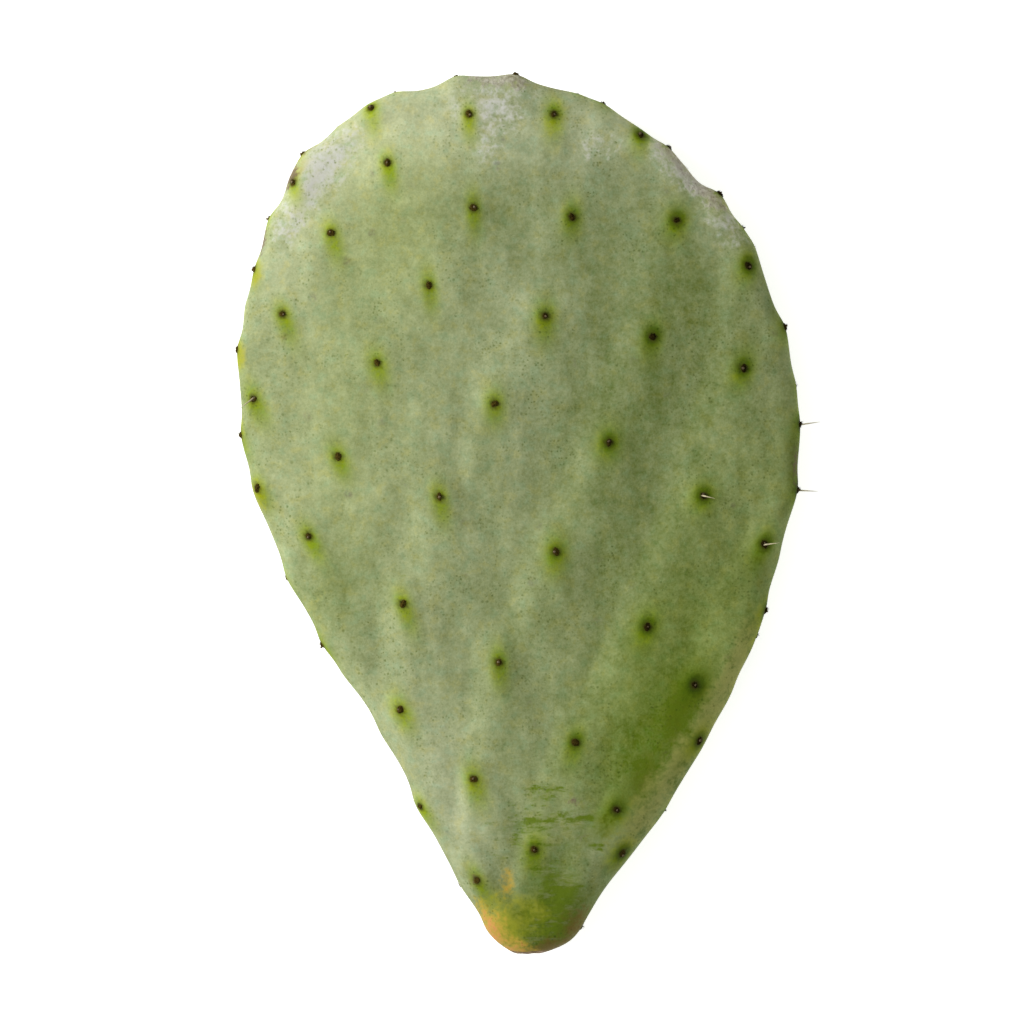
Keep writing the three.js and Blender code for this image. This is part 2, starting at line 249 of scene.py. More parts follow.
def relief(x, y):
    total = np.zeros(np.shape(x))
    for head, down, size, height in tubercles:
        below = (x - head[0]) * down[0] + (y - head[1]) * down[1]
        right = (y - head[1]) * down[0] - (x - head[0]) * down[1]
        spread = tubercle["spread"] * np.maximum(below, 0)
        left = 1 - smoothStep(0, tubercle["steep"] * size, -right - tubercle["crest"] - spread)
        aside = np.where(right < 0, left, 1 - smoothStep(0, tubercle["gentle"] * size, right - spread))
        along = smoothStep(*tubercle["rise"], below) * (1 - smoothStep(*tubercle["sink"], below / size))
        total += (height * along * aside) ** 3
    return np.cbrt(total)


def mirroredToBack(places):
    x, y = places.T
    left, right = edgesAt(y)
    across = (2 * x - left - right) / (right - left)
    backY = y + pad["backShift"]
    backLeft, backRight = edgesAt(backY)
    return np.column_stack([(backLeft + backRight - across * (backRight - backLeft)) / 2, backY])


def vertexNormals(points, faces):
    corners = points[faces]
    normals = np.cross(corners[:, 2] - corners[:, 0], corners[:, 3] - corners[:, 1])
    total = np.zeros_like(points)
    for k in range(4):
        np.add.at(total, faces[:, k], normals)
    return total / np.maximum(np.linalg.norm(total, axis=1, keepdims=True), 1e-9)


def growPad():
    levels = pad["along"] - 1
    share = np.arange(1, levels + 1)[:, None] / pad["along"]
    turn = 2 * np.pi * np.arange(pad["around"]) / pad["around"]
    side = np.sign(np.round(np.sin(turn), 9))
    folded = np.where(turn > np.pi, 2 * np.pi - turn, turn)
    across = np.cos(folded + pad["crowding"] * np.sin(2 * folded))
    rightX, rightY = placeOn(edge, share * tipShare)
    leftX, leftY = placeOn(edge, 1 - share * (1 - tipShare))
    x = leftX + (rightX - leftX) * (1 + across) / 2
    y = leftY + (rightY - leftY) * (1 + across) / 2
    side = np.broadcast_to(side, x.shape)

    inward = distanceTo(edge, x, y)
    backX, backY = toFront(x, y)
    raised = np.where(side > 0, relief(x, y), tubercle["back"] * relief(backX, backY))
    raised = raised * smoothStep(0, 2 * pad["rimRound"], inward)
    z = midHeight(x, y) + side * (halfThickness(x, y, inward) + raised)

    grid = np.stack([x, y, z], axis=-1).reshape(-1, 3)
    ends = np.array([[edge[0, 0], edge[0, 1], 0], [edge[tipStep, 0], tipY, 0]])
    ends[:, 2] = midHeight(ends[:, 0], ends[:, 1])
    points = np.vstack([grid, ends])
    n = pad["around"]
    j = np.arange(n)
    quads = [np.column_stack([i * n + j, (i + 1) * n + j, (i + 1) * n + (j + 1) % n, i * n + (j + 1) % n])
             for i in range(levels - 1)]
    stem, tip = len(grid), len(grid) + 1
    stemCap = np.column_stack([np.full(n, stem), j, (j + 1) % n])
    last = (levels - 1) * n
    tipCap = np.column_stack([np.full(n, tip), last + (j + 1) % n, last + j])
    return points, np.vstack(quads), stemCap, tipCap


padPoints, padQuads, stemCap, tipCap = growPad()
allFaces = padQuads.tolist() + stemCap.tolist() + tipCap.tolist()
quadsForNormals = np.vstack([padQuads] + [np.column_stack([cap, cap[:, 0]]) for cap in (stemCap, tipCap)])
floorHeight = padPoints[:, 2].min() + pad["pressed"]
print("pad grown:", len(padPoints), "points")


# How areoles are found: no nearer the outline than this, from how far off a ray comes down on a face and
# in on the rim, and the share of the outline over which its direction is read.
search = {"nearest": 1.5, "above": 100, "beside": 40, "step": 0.002}


def landOn(tree, start, toward, **about):
    place, normal, _, _ = tree.ray_cast(Vector(start), Vector(toward).normalized())
    return {"place": np.array(place), "normal": np.array(normal), **about}


def findAreoles(tree):
    found = []
    for number, row in enumerate(rows):
        for face in (1, -1):
            places = areolesInRow(row)
            if face < 0:
                places = mirroredToBack(places)
            for order, (x, y) in enumerate(places):
                if y > tipY or distanceTo(edge, x, y) < search["nearest"]:
                    continue
                found.append(landOn(tree, (x, y, face * search["above"]), (0, 0, -face), row=number,
                                    order=order, face=face, height=pad["bumpHeight"]))
    for order, (distance, tilt, height) in enumerate(rimAreoles):
        share = distance / edgeLength
        x, y = placeOn(edge, share)
        step = search["step"]
        ahead = unit(np.subtract(placeOn(edge, share + step), placeOn(edge, share - step)))
        outward = np.array([ahead[1], -ahead[0]])
        angle = math.radians(tilt)
        out = np.array([outward[0] * math.cos(angle), outward[1] * math.cos(angle), math.sin(angle)])
        core = np.array([x, y, midHeight(x, y)])
        core[:2] -= outward * pad["rimHalf"]
        found.append(landOn(tree, core + out * search["beside"], -out, row="rim", order=order, face=0,
                            height=height))
    return found


areoles = findAreoles(BVHTree.FromPolygons(padPoints.tolist(), allFaces))


def raiseBumps(points):
    normals = vertexNormals(points, quadsForNormals)
    height = np.zeros(len(points))
    for a in areoles:
        away = points - a["place"]
        tail = math.hypot(pad["bumpWidth"], pad["bumpTail"])
        long = np.where(away[:, 1] < 0, tail, pad["bumpWidth"])
        square = (away[:, 0] ** 2 + away[:, 2] ** 2) / pad["bumpWidth"] ** 2 + (away[:, 1] / long) ** 2
        height += a["height"] * np.exp(-0.5 * square)
    return points + normals * height[:, None], normals


padPoints, smoothNormals = raiseBumps(padPoints)


def dentFlesh(points, normals):
    # soft unevenness that fades out at the rim, so that the outline keeps its shape
    size = pad["dentSize"]
    inward = distanceTo(edge[::4], points[:, 0], points[:, 1])
    fade = smoothStep(*pad["dentFade"], inward)
    depth = np.array([sum(strength * noise.noise(Vector(p / size * fineness + shift))
                          for strength, fineness, shift in pad["dentLayers"]) for p in points])
    return points + normals * (depth * fade * pad["dents"])[:, None]


padPoints = dentFlesh(padPoints, smoothNormals)


def dishScar(points):
    # a shallow dish in the stem end, and how far each point is inside it
    middle, wide, tall, depth = pad["scar"]
    reach = 1 - ((points[:, 0] - middle) / wide) ** 2 - ((points[:, 2] - midHeight(middle, 0)) / tall) ** 2
    bottom = -depth + 2 * depth * np.sqrt(np.maximum(reach, 0))
    atEnd = points[:, 1] < pad["scarWithin"]
    points[:, 1] = np.where(atEnd & (reach > 0), np.maximum(points[:, 1], bottom), points[:, 1])
    return np.where(atEnd, smoothStep(-0.15, 0.25, reach), 0)


scarred = dishScar(padPoints)
raisedTree = BVHTree.FromPolygons(padPoints.tolist(), allFaces)
areoles = findAreoles(raisedTree)
padPoints[:, 2] = np.maximum(padPoints[:, 2], floorHeight)
print("areoles found:", len(areoles))

# From the form's millimetres to the frame's metres: fitted inside the CAD pad's box.
domeTops = np.array([a["place"] + a["normal"] * pad["areoleRise"] for a in areoles])
wholeForm = np.vstack([padPoints, domeTops])
formLow, formHigh = wholeForm.min(0), wholeForm.max(0)
fitShare = 0.9995       # a little smaller than the box
fitGap = 0.00005        # and this far in from its left side
toMetres = (boxHigh.y - boxLow.y) / (formHigh[1] - formLow[1]) * fitShare
formShift = np.array([
    boxLow.x + fitGap - formLow[0] * toMetres,
    (boxLow.y + boxHigh.y) / 2 - (formLow[1] + formHigh[1]) / 2 * toMetres,
    boxLow.z - floorHeight * toMetres,
])


def inFrame(points):
    return np.asarray(points) * toMetres + formShift


def makeMesh(name, points, faces, smooth=True):
    mesh = bpy.data.meshes.new(name)
    mesh.from_pydata(inFrame(points).tolist(), [], [list(f) for f in faces])
    mesh.validate()
    mesh.polygons.foreach_set("use_smooth", [smooth] * len(mesh.polygons))
    piece = bpy.data.objects.new(name, mesh)
    bpy.context.scene.collection.objects.link(piece)
    return piece


def paint(piece, name, values):
    layer = piece.data.attributes.new(name, "FLOAT", "POINT")
    layer.data.foreach_set("value", np.clip(values, 0, 1).astype(np.float32))


# How thick the wax is: its level on the left and on the right, the heights over which it thickens
# towards the tip, its level on the back, and where about the rim's middle the front's marks come in.
waxForm = {"left": 0.32, "right": 0.145, "from": -25, "to": 40, "tip": 0.12, "tipFrom": 205, "tipTo": 255,
           "back": 0.28, "frontFrom": (-2.5, 1.5)}

# Where each mark lies on the front: middle, reach across and along, turn in degrees, and strength.
waxMarks = [
    (-58, 240, 9, 15, -40, 0.12), (-71, 214, 8, 18, -20, 0.14), (-40, 252, 14, 8, 20, 0.2),
    (-5, 231, 15, 12, 0, -0.15), (78, 182, 8, 26, 0, 0.08), (62, 224, 6, 8, 30, 0.12),
    (52, 240, 6, 11, 45, 0.1), (24, 250, 18, 8, 0, 0.11), (41, 64, 9, 20, -34, -0.13),
    (49, 78, 6, 9, -30, -0.06), (63, 105, 6, 26, -28, 0.02), (-27, 58, 8, 18, 25, 0.07),
    (-6, 105, 9, 30, 8, -0.03), (-17, 36, 5, 10, 20, 0.06), (-82, 165, 6, 40, 0, -0.04),
    (13, 22, 7, 6, -10, -0.18), (26, 33, 3.5, 9, -35, 0.14), (4, 9, 11, 8, 0, -0.25),
    (20, 46, 7, 7, 0, 0.05), (1, 26, 4, 4, 0, 0.06), (17, 34, 4, 4, 0, -0.05),
    (-58, 110, 9, 14, -28, -0.13), (68, 133, 8, 14, 0, 0.03), (-20, 252, 12, 6, 0, 0.05),
    (-67, 158, 9, 30, 0, 0.06), (0, 170, 5, 40, 0, 0.02),
]
marks = {
    "fresh": [(-36, 228, 15, 22, 0, 0.5), (-58, 165, 16, 44, 0, 0.3), (66, 112, 15, 34, -15, 0.6),
              (46, 86, 12, 20, -30, 0.85), (30, 62, 9, 20, -30, 0.6)],
    "dull": [(0, 226, 24, 18, 0, 0.7), (26, 195, 26, 36, 0, 0.6), (-20, 40, 8, 22, 25, 0.4),
             (62, 245, 12, 14, 0, 0.4), (18, 38, 7, 8, 0, 0.8), (10, 262, 20, 6, 0, 0.4)],
    "bloom": [(-61, 240, 4.5, 11, -38, 1.0), (-70, 224, 3, 6, -30, 0.6), (-8, 261, 9, 5, 0, 0.55),
              (-10, 252, 5, 7, 0, 0.45), (51, 240, 3.2, 9, 45, 1.0), (64, 224, 4, 6, 30, 0.6),
              (24, 247, 6, 4, 0, 0.35), (42, 247, 4, 3, -40, 0.4)],
    "yellow": [(-86, 184, 1.8, 3.5, 0, 0.9), (-81, 208, 1.8, 4, -15, 0.8), (-80, 141, 1.8, 4, 18, 0.8),
               (-68, 240, 1.6, 4, -35, 0.7), (-86, 160, 1.6, 10, 0, 0.4), (-64, 106, 1.6, 12, -30, 0.4)],
    "cork": [(-6, 268.5, 9, 2.5, 0, 0.8), (50, 243, 3.5, 9, 45, 0.7), (58, 233, 2.5, 6, 40, 0.7)],
    "bruise": [(-79.5, 219, 1.6, 4, -12, 1.0), (-71, 238, 1.8, 4, -32, 1.0), (-64, 249, 1.2, 5, -45, 0.7),
               (17, 48, 2.6, 1.4, 0, 0.55), (-14, 24, 2, 2, 0, 0.5), (85, 150, 1.6, 7, 0, 0.5),
               (19, 37, 2.4, 1.6, 0, 0.4)],
    "russet": [(9, 2.5, 7, 2.2, 12, 1.0), (18, 9, 2, 5, -30, 0.8), (16, 12, 3, 3, 0, 0.4)],
    "golden": [(-4, 8, 5.5, 5, 0, 1.1), (-8, 17, 3.5, 4, 0, 0.85), (1, 16, 5, 2.5, 0, 0.7),
               (7, 12, 3, 2, 0, 0.4)],
    "blush": [(-8.5, 9, 3, 6.5, 32, 1.0), (-2, 2.6, 6, 2.2, -14, 1.0), (-4.2, 22, 2.2, 5, -8, 0.52)],
    "scratches": [(7.2, 51.5, 3.6, 1.0, 0, 1.0), (2.4, 41.4, 6, 1.7, -4, 0.62), (-1, 37, 4, 1.6, 0, 0.55),
                  (18.6, 42.3, 4.6, 1.0, 3, 1.1), (24, 34, 2.2, 1.0, 0, 1.0), (7.2, 27, 2.8, 1.2, -5, 1.0),
                  (13, 21, 5, 4.2, -12, 0.9), (7, 40, 10, 9, 0, 0.46), (12, 8, 5, 5, 0, 0.95),
                  (4, 7, 5, 4, 0, 0.6)],
    # olive wax along the lower-right rim, made paler than that wax so that it is partly a painted highlight
    # on the rim
    "oliveWaxAndPaintedRimHighlight": [(67, 90, 3, 17, -27, 1.0), (58, 72, 2.6, 14, -33, 0.8), (36, 41, 4, 10, -38, 0.7),
              (46, 56, 3.2, 12, -35, 0.6)],
    "deep": [(86, 148, 3, 10, 8, 0.8), (73, 119, 3.4, 7, -15, 0.55), (50, 76, 6, 12, -30, 0.5),
             (55, 83, 2.4, 3.5, -30, 0.6), (38, 53, 4, 7, -38, 0.7), (27, 41, 3.5, 6, -35, 0.6),
             (78, 200, 2, 8, 0, 0.5)],
}


def insideSpot(x, y, spot):
    middleX, middleY, reachX, reachY, degrees, strength = spot
    turn = math.radians(degrees)
    across = (x - middleX) * math.cos(turn) + (y - middleY) * math.sin(turn)
    along = -(x - middleX) * math.sin(turn) + (y - middleY) * math.cos(turn)
    return strength * np.exp(-0.5 * ((across / reachX) ** 2 + (along / reachY) ** 2))


def paintMarks(piece, points):
    x, y = points[:, 0], points[:, 1]
    front = smoothStep(*waxForm["frontFrom"], points[:, 2] - midHeight(x, y))
    rightward = rightwardBy(waxForm, x)
    wax = waxForm["left"] + (waxForm["right"] - waxForm["left"]) * rightward
    wax = wax + waxForm["tip"] * smoothStep(waxForm["tipFrom"], waxForm["tipTo"], y)
    wax = wax + sum(insideSpot(x, y, spot) for spot in waxMarks)
    paint(piece, "wax", wax * front + waxForm["back"] * (1 - front))
    for name, spots in marks.items():
        bare = np.ones(len(points))
        for spot in spots:
            bare *= 1 - insideSpot(x, y, spot)
        paint(piece, name, (1 - bare) * front)
    paint(piece, "scar", scarred)


# Round each areole: how far the yellow-green halo reaches, how strong the dark ring and the tail below it
# are, and the stain under the felt. Of two values the first is for the left of the pad and the second for
# the right.
haloLook = {
    "from": -30, "to": 50, "vary": (0.82, 1.18), "across": (2.2, 3.0), "up": (4.2, 4.6), "down": (5.0, 4.1),
    "lowered": 0.9, "ring": (0.1, 1.15), "ringReach": 2.7, "ringNarrow": 1.15, "ringRaised": 0.4,
    "tail": (0.28, 0.2), "tailAcross": 1.7, "tailAlong": 4, "tailLowered": 3.8, "stain": 1.3, "seed": 5}


def paintAreoles(piece, points):
    look = haloLook
    draw = random.Random(look["seed"])
    halo, shade, stain = [np.zeros(len(points)) for _ in range(3)]
    for a in areoles:
        rightward = rightwardBy(haloLook, a["place"][0])

        def fromLeft(name):
            left, right = look[name]
            return (left + (right - left) * rightward) * draw.uniform(*look["vary"])

        away = points - a["place"]
        down = -a["place"][:2] / max(np.linalg.norm(a["place"][:2]), 1)
        below = away[:, 0] * down[0] + away[:, 1] * down[1]
        aside = np.hypot(away[:, 0] * down[1] - away[:, 1] * down[0], away[:, 2])
        lower = below - look["lowered"]
        long = np.where(lower > 0, fromLeft("down"), fromLeft("up"))
        halo = np.maximum(halo, np.exp(-0.5 * ((aside / fromLeft("across")) ** 2.4 + (lower / long) ** 2)))
        near = np.linalg.norm(away, axis=1)
        ringAway = np.hypot(aside * look["ringNarrow"], below + look["ringRaised"])
        ring = fromLeft("ring") * np.exp(-0.5 * (ringAway / look["ringReach"]) ** 4)
        lower = below - look["tailLowered"]
        far = (aside / look["tailAcross"]) ** 2 + (lower / look["tailAlong"]) ** 2
        shade = np.maximum(shade, ring + fromLeft("tail") * np.exp(-0.5 * far))
        stain = np.maximum(stain, np.exp(-0.5 * (near / look["stain"]) ** 4))
    paint(piece, "halo", halo)
    paint(piece, "haloShade", shade)
    paint(piece, "stain", stain)


padSkin = makeMesh("padSkin", padPoints, allFaces)
paintMarks(padSkin, padPoints)
paintAreoles(padSkin, padPoints)
print("skin painted")


def addNode(tree, kind, inputs=None, **settings):
    node = tree.nodes.new(kind)
    for name, value in settings.items():
        setattr(node, name, value)
    for name, value in (inputs or {}).items():
        socket = node.inputs[name]
        if isinstance(value, bpy.types.NodeSocket):
            tree.links.new(value, socket)
        else:
            socket.default_value = value
    return node


def maths(tree, operation, first, second, clamp=False):
    node = addNode(tree, "ShaderNodeMath", {0: first, 1: second}, operation=operation, use_clamp=clamp)
    return node.outputs[0]


def rampUp(tree, value, low, high):
    # 0 below low, 1 above high, eased between them
    return addNode(tree, "ShaderNodeMapRange", {"Value": value, "From Min": low, "From Max": high},
                   interpolation_type="SMOOTHSTEP").outputs["Result"]


def vectorMaths(tree, operation, inputs):
    return addNode(tree, "ShaderNodeVectorMath", inputs, operation=operation).outputs[0]


def blendColors(tree, factor, first, second, how="MIX"):
    first, second = [(*color, 1) if isinstance(color, tuple) else color for color in (first, second)]
    return addNode(tree, "ShaderNodeMix", {0: factor, 6: first, 7: second},
                   data_type="RGBA", blend_type=how).outputs[2]


def newGroup(name, numbers):
    # a group that turns a position and these numbers into a mask
    group = bpy.data.node_groups.new(name, "ShaderNodeTree")
    group.interface.new_socket("Position", in_out="INPUT", socket_type="NodeSocketVector")
    for label, value in numbers.items():
        socket = group.interface.new_socket(label, in_out="INPUT", socket_type="NodeSocketFloat")
        socket.default_value = value
    group.interface.new_socket("Mask", in_out="OUTPUT", socket_type="NodeSocketFloat")
    return group, group.nodes.new("NodeGroupInput"), group.nodes.new("NodeGroupOutput")


def maskFrom(tree, group, inputs):
    return addNode(tree, "ShaderNodeGroup", inputs, node_tree=group).outputs["Mask"]


def buildMottle():
    # uneven cloudy patches of a chosen size in millimetres
    group, entry, result = newGroup("mottle", {"Size": 5.0, "Fineness": 3.0, "Contrast": 1.0})
    scale = maths(group, "DIVIDE", 1000.0, entry.outputs["Size"])
    clouds = addNode(group, "ShaderNodeTexNoise", {
        "Vector": entry.outputs["Position"], "Scale": scale, "Detail": entry.outputs["Fineness"],
        "Roughness": 0.6})
    centred = maths(group, "SUBTRACT", clouds.outputs["Fac"], 0.5)
    spread = maths(group, "MULTIPLY", centred, entry.outputs["Contrast"])
    group.links.new(maths(group, "ADD", spread, 0.5, clamp=True), result.inputs["Mask"])
    return group


def buildSpeckle():
    # small separate spots, scattered one to a cell, of uneven size and strength
    group, entry, result = newGroup("speckle", {"Spacing": 2.0, "Spot": 0.25, "Share": 0.5})
    scale = maths(group, "DIVIDE", 1000.0, entry.outputs["Spacing"])
    wobble = addNode(group, "ShaderNodeTexNoise", {
        "Vector": entry.outputs["Position"], "Scale": maths(group, "MULTIPLY", scale, 3.0), "Detail": 2.0})
    nudge = vectorMaths(group, "SUBTRACT", {0: wobble.outputs["Color"], 1: (0.5, 0.5, 0.5)})
    nudge = vectorMaths(group, "SCALE", {0: nudge, "Scale": 0.0006})
    place = vectorMaths(group, "ADD", {0: entry.outputs["Position"], 1: nudge})
    cells = addNode(group, "ShaderNodeTexVoronoi", {"Vector": place, "Scale": scale})
    split = addNode(group, "ShaderNodeSeparateColor", {"Color": cells.outputs["Color"]})
    radius = maths(group, "MULTIPLY", entry.outputs["Spot"], maths(group, "ADD", split.outputs["Green"], 0.4))
    core = maths(group, "MULTIPLY", radius, 0.35)
    inside = addNode(group, "ShaderNodeMapRange", {
        "Value": cells.outputs["Distance"], "From Min": radius, "From Max": core},
        interpolation_type="SMOOTHSTEP")
    chosen = maths(group, "LESS_THAN", split.outputs["Red"], entry.outputs["Share"])
    faint = maths(group, "ADD", maths(group, "MULTIPLY", split.outputs["Blue"], 0.7), 0.3)
    mask = maths(group, "MULTIPLY", inside.outputs["Result"], chosen)
    group.links.new(maths(group, "MULTIPLY", mask, faint), result.inputs["Mask"])
    return group


mottle = buildMottle()
speckle = buildSpeckle()


def newMaterial(name):
    material = bpy.data.materials.new(name)
    material.use_nodes = True
    tree = material.node_tree
    tree.nodes.clear()
    shader = tree.nodes.new("ShaderNodeBsdfPrincipled")
    output = tree.nodes.new("ShaderNodeOutputMaterial")
    tree.links.new(shader.outputs["BSDF"], output.inputs["Surface"])
    position = tree.nodes.new("ShaderNodeTexCoord").outputs["Object"]
    return material, tree, shader, position


def dress(tree, shader, color, height):
    # the height is in metres
    bump = addNode(tree, "ShaderNodeBump", {"Height": height, "Strength": 1.0, "Distance": 1.0})
    tree.links.new(color, shader.inputs["Base Color"])
    tree.links.new(bump.outputs["Normal"], shader.inputs["Normal"])


def painted(tree, name):
    return addNode(tree, "ShaderNodeAttribute", attribute_name=name, attribute_type="GEOMETRY").outputs["Fac"]


skinLook = {
    "bare": (0.084, 0.123, 0.007),
    "thickWax": (0.582, 0.603, 0.409),
    "fresh": (0.97, 1.03, 0.6),        # this and the next seven tint the skin
    "dull": (0.96, 0.94, 1.08),
    "warm": (1.06, 1.0, 0.86),
    "cool": (0.92, 1.0, 1.05),
    "halo": (0.8, 0.9, 0.08),
    "haloShade": (0.42, 0.51, 0.1),
    "pore": (0.46, 0.52, 0.3),
    "smudge": (0.68, 0.62, 0.7),
    "bloom": (0.47, 0.465, 0.43),
    "deep": (0.075, 0.103, 0.001),
    "russet": (0.12, 0.082, 0.01),
    "yellow": (0.33, 0.31, 0.03),
    # the olive rim wax, made paler so that it is partly a painted highlight on the lower-right rim
    "oliveWaxAndPaintedRimHighlight": (0.27, 0.272, 0.075),
    "golden": (0.225, 0.235, 0.012),
    "scratch": (0.092, 0.138, 0.006),
    "flake": (0.26, 0.275, 0.15),
    "cork": (0.38, 0.36, 0.29),
    "corkDark": (0.15, 0.12, 0.085),
    "bruise": (0.13, 0.085, 0.065),
    "blushYellow": (0.37, 0.265, 0.035),
    "blushRed": (0.47, 0.21, 0.065),
    "stain": (0.03, 0.024, 0.003),
    "scar": (0.3, 0.21, 0.11),
    "scarDark": (0.09, 0.055, 0.03),
    "roughBare": 0.5,
    "roughWax": 0.75,
    "shine": 0.07,
}
# The cloudy patches in the skin: size in millimetres, fineness and contrast. The two largest are drawn out
# along the pad.
patchSizes = {"broad": (34.0, 2.0, 1.8), "patchy": (11.0, 2.0, 2.0), "small": (4.2, 2.0, 1.8),
              "grain": (1.4, 2.0, 1.9), "fine": (0.6, 1.0, 1.9)}
drawnOut = {"broad": (1.25, 0.55, 1.0), "patchy": (1.25, 0.55, 1.0)}
# How much each makes the wax, the brightness and the height in metres swing.
waxSwing = {"broad": 0.05, "patchy": 0.1, "small": 0.09, "grain": 0.1, "fine": 0.05}
lightSwing = {"broad": 0.14, "patchy": 0.18, "small": 0.12, "grain": 0.08, "fine": 0.1}
heights = {"fine": 0.000025, "grain": 0.00005, "small": 0.00007, "patchy": 0.00012}
poreDepth, crackDepth = 0.00003, 0.00018
# Marks in the order laid on: the painted mark, how much the small patches and the grain break it up, the
# range over which it comes in, its strength, and its colour.
# the olive rim mark is olive wax and partly a painted highlight along the lower-right rim
waxyMarks = [("bloom", 0.9, 0.8, 0.1, 1.2, 0.85, "bloom"), ("deep", 0.5, 0.5, 0.1, 1.05, 1.0, "deep"),
             ("oliveWaxAndPaintedRimHighlight", 0.7, 0.6, 0.15, 1.1, 0.75, "oliveWaxAndPaintedRimHighlight")]
stemMarks = [("russet", 0.5, 0.6, 0.1, 1.0, 0.9, "russet"), ("golden", 0.8, 0.45, 0.05, 1.2, 0.85, "golden"),
             ("blush", 0.7, 0.6, 0.2, 0.9, 0.85, "blushYellow"),
             ("blush", 0.7, 0.6, 0.66, 1.2, 0.85, "blushRed"), ("yellow", 0.3, 0.4, 0.15, 1.0, 0.8, "yellow")]


def makeSkin():
    look = skinLook
    material, tree, shader, position = newMaterial("waxySkin")

    def clouds(size, fineness, contrast, where=position):
        return maskFrom(tree, mottle, {"Position": where, "Size": size, "Fineness": fineness,
                                       "Contrast": contrast})

    def spots(spacing, spot, share):
        return maskFrom(tree, speckle, {"Position": position, "Spacing": spacing, "Spot": spot,
                                        "Share": share})

    def stretched(where, scale):
        return addNode(tree, "ShaderNodeMapping", {"Vector": where, "Scale": scale}).outputs["Vector"]

    def shifted(x, y):
        return vectorMaths(tree, "ADD", {0: position, 1: (x, y, 0.0)})

    def about(mask, amount):
        # the mask made to swing this much about nothing
        return maths(tree, "MULTIPLY", maths(tree, "SUBTRACT", mask, 0.5), amount)

    def plus(first, *others):
        for other in others:
            first = maths(tree, "ADD", first, other)
        return first

    def times(first, second):
        return maths(tree, "MULTIPLY", first, second)

    def tinted(factor, color, tint):
        return blendColors(tree, factor, color, tint, "MULTIPLY")

    patches = {name: clouds(*sizes, stretched(position, drawnOut[name]) if name in drawnOut else position)
               for name, sizes in patchSizes.items()}
    small, grain, fine = patches["small"], patches["grain"], patches["fine"]

    def swings(amounts):
        return [about(patches[name], amount) for name, amount in amounts.items()]

    def mark(name, smallShare, grainShare, low, high):
        # a painted mark, broken up at its edges and absent where nothing is painted
        here = painted(tree, name)
        broken = times(plus(about(small, smallShare), about(grain, grainShare)), rampUp(tree, here, 0.0, 0.3))
        return rampUp(tree, plus(here, broken), low, high)

    def layOn(color, layers):
        for name, smallShare, grainShare, low, high, strength, paintColor in layers:
            here = times(mark(name, smallShare, grainShare, low, high), strength)
            color = blendColors(tree, here, color, look[paintColor])
        return color

    # pale wax over green skin, worn unevenly
    wax = plus(painted(tree, "wax"), *swings(waxSwing))
    wax = addNode(tree, "ShaderNodeClamp", {"Value": wax, "Min": 0.0, "Max": 1.0}).outputs[0]
    color = blendColors(tree, wax, look["bare"], look["thickWax"])
    color = blendColors(tree, 1.0, color, plus(*swings(lightSwing), 1.0), "MULTIPLY")

    # small shifts between warmer and cooler green, and the patches that the sun or the shade has tinted
    hue = clouds(3.5, 4.0, 3.0, shifted(0.31, 0.12))
    color = tinted(rampUp(tree, hue, 0.55, 1.0), color, look["warm"])
    color = tinted(rampUp(tree, hue, 0.45, 0.0), color, look["cool"])
    for name in ("fresh", "dull"):
        color = tinted(painted(tree, name), color, look[name])
    # pale bloom, deep green patches, and the olive rim wax, which is partly a painted highlight on the
    # lower-right rim
    color = layOn(color, waxyMarks)

    # ragged strokes where something brushed across the pad and took the wax off, and pale flakes among them
    strokes = clouds(2.4, 4.0, 2.6, stretched(shifted(0.05, 0.02), (0.5, 1.5, 1.0)))
    scratched = painted(tree, "scratches")
    reached = plus(times(strokes, 0.7), times(scratched, 0.75), about(grain, 0.4), about(fine, 0.2))
    color = blendColors(tree, times(rampUp(tree, reached, 0.6, 1.16), 0.95), color, look["scratch"])
    flakes = times(maths(tree, "SUBTRACT", 1.0, strokes), rampUp(tree, scratched, 0.05, 0.6))
    color = blendColors(tree, times(rampUp(tree, flakes, 0.5, 1.0), 0.28), color, look["flake"])

    # the stem end's golden skin and its yellow and red blush, and yellow patches on the rim
    color = layOn(color, stemMarks)

    # yellow-green halos round the areoles, darker close in and where they run down
    uneven = plus(about(grain, 0.5), about(small, 0.4), 1.0)
    for name in ("halo", "haloShade"):
        color = tinted(maths(tree, "MULTIPLY", painted(tree, name), uneven, clamp=True), color, look[name])

    # fine dark pores, thicker in some places, with a few larger dots, and grey smudges
    thicker = plus(times(rampUp(tree, clouds(14.0, 3.0, 2.4), 0.3, 0.8), 0.7), 0.15)
    pores = maths(tree, "MAXIMUM", times(spots(1.0, 0.42, 0.8), thicker), times(spots(2.6, 0.22, 0.4), 0.5))
    color = tinted(pores, color, look["pore"])
    smudges = times(spots(10.0, 0.2, 0.6), rampUp(tree, grain, 0.2, 0.8))
    color = tinted(smudges, color, look["smudge"])

    # corky scars, bruises on the rim, and the picking scar
    cracks = clouds(1.6, 4.0, 3.0)
    cork = mark("cork", 0.8, 0.5, 0.25, 0.85)
    color = blendColors(tree, times(cork, 0.8), color,
                        blendColors(tree, cracks, look["corkDark"], look["cork"]))
    color = layOn(color, [("bruise", 0.2, 0.6, 0.3, 0.8, 0.85, "bruise")])
    scar = mark("scar", 0.0, 0.3, 0.3, 0.7)
    color = blendColors(tree, scar, color, blendColors(tree, cracks, look["scarDark"], look["scar"]))

    color = blendColors(tree, painted(tree, "stain"), color, look["stain"])

    rough = addNode(tree, "ShaderNodeMapRange", {"Value": wax, "From Max": 0.5, "To Min": look["roughBare"],
                                                 "To Max": look["roughWax"]}).outputs["Result"]
    tree.links.new(rough, shader.inputs["Roughness"])
    shader.inputs["Specular IOR Level"].default_value = look["shine"]

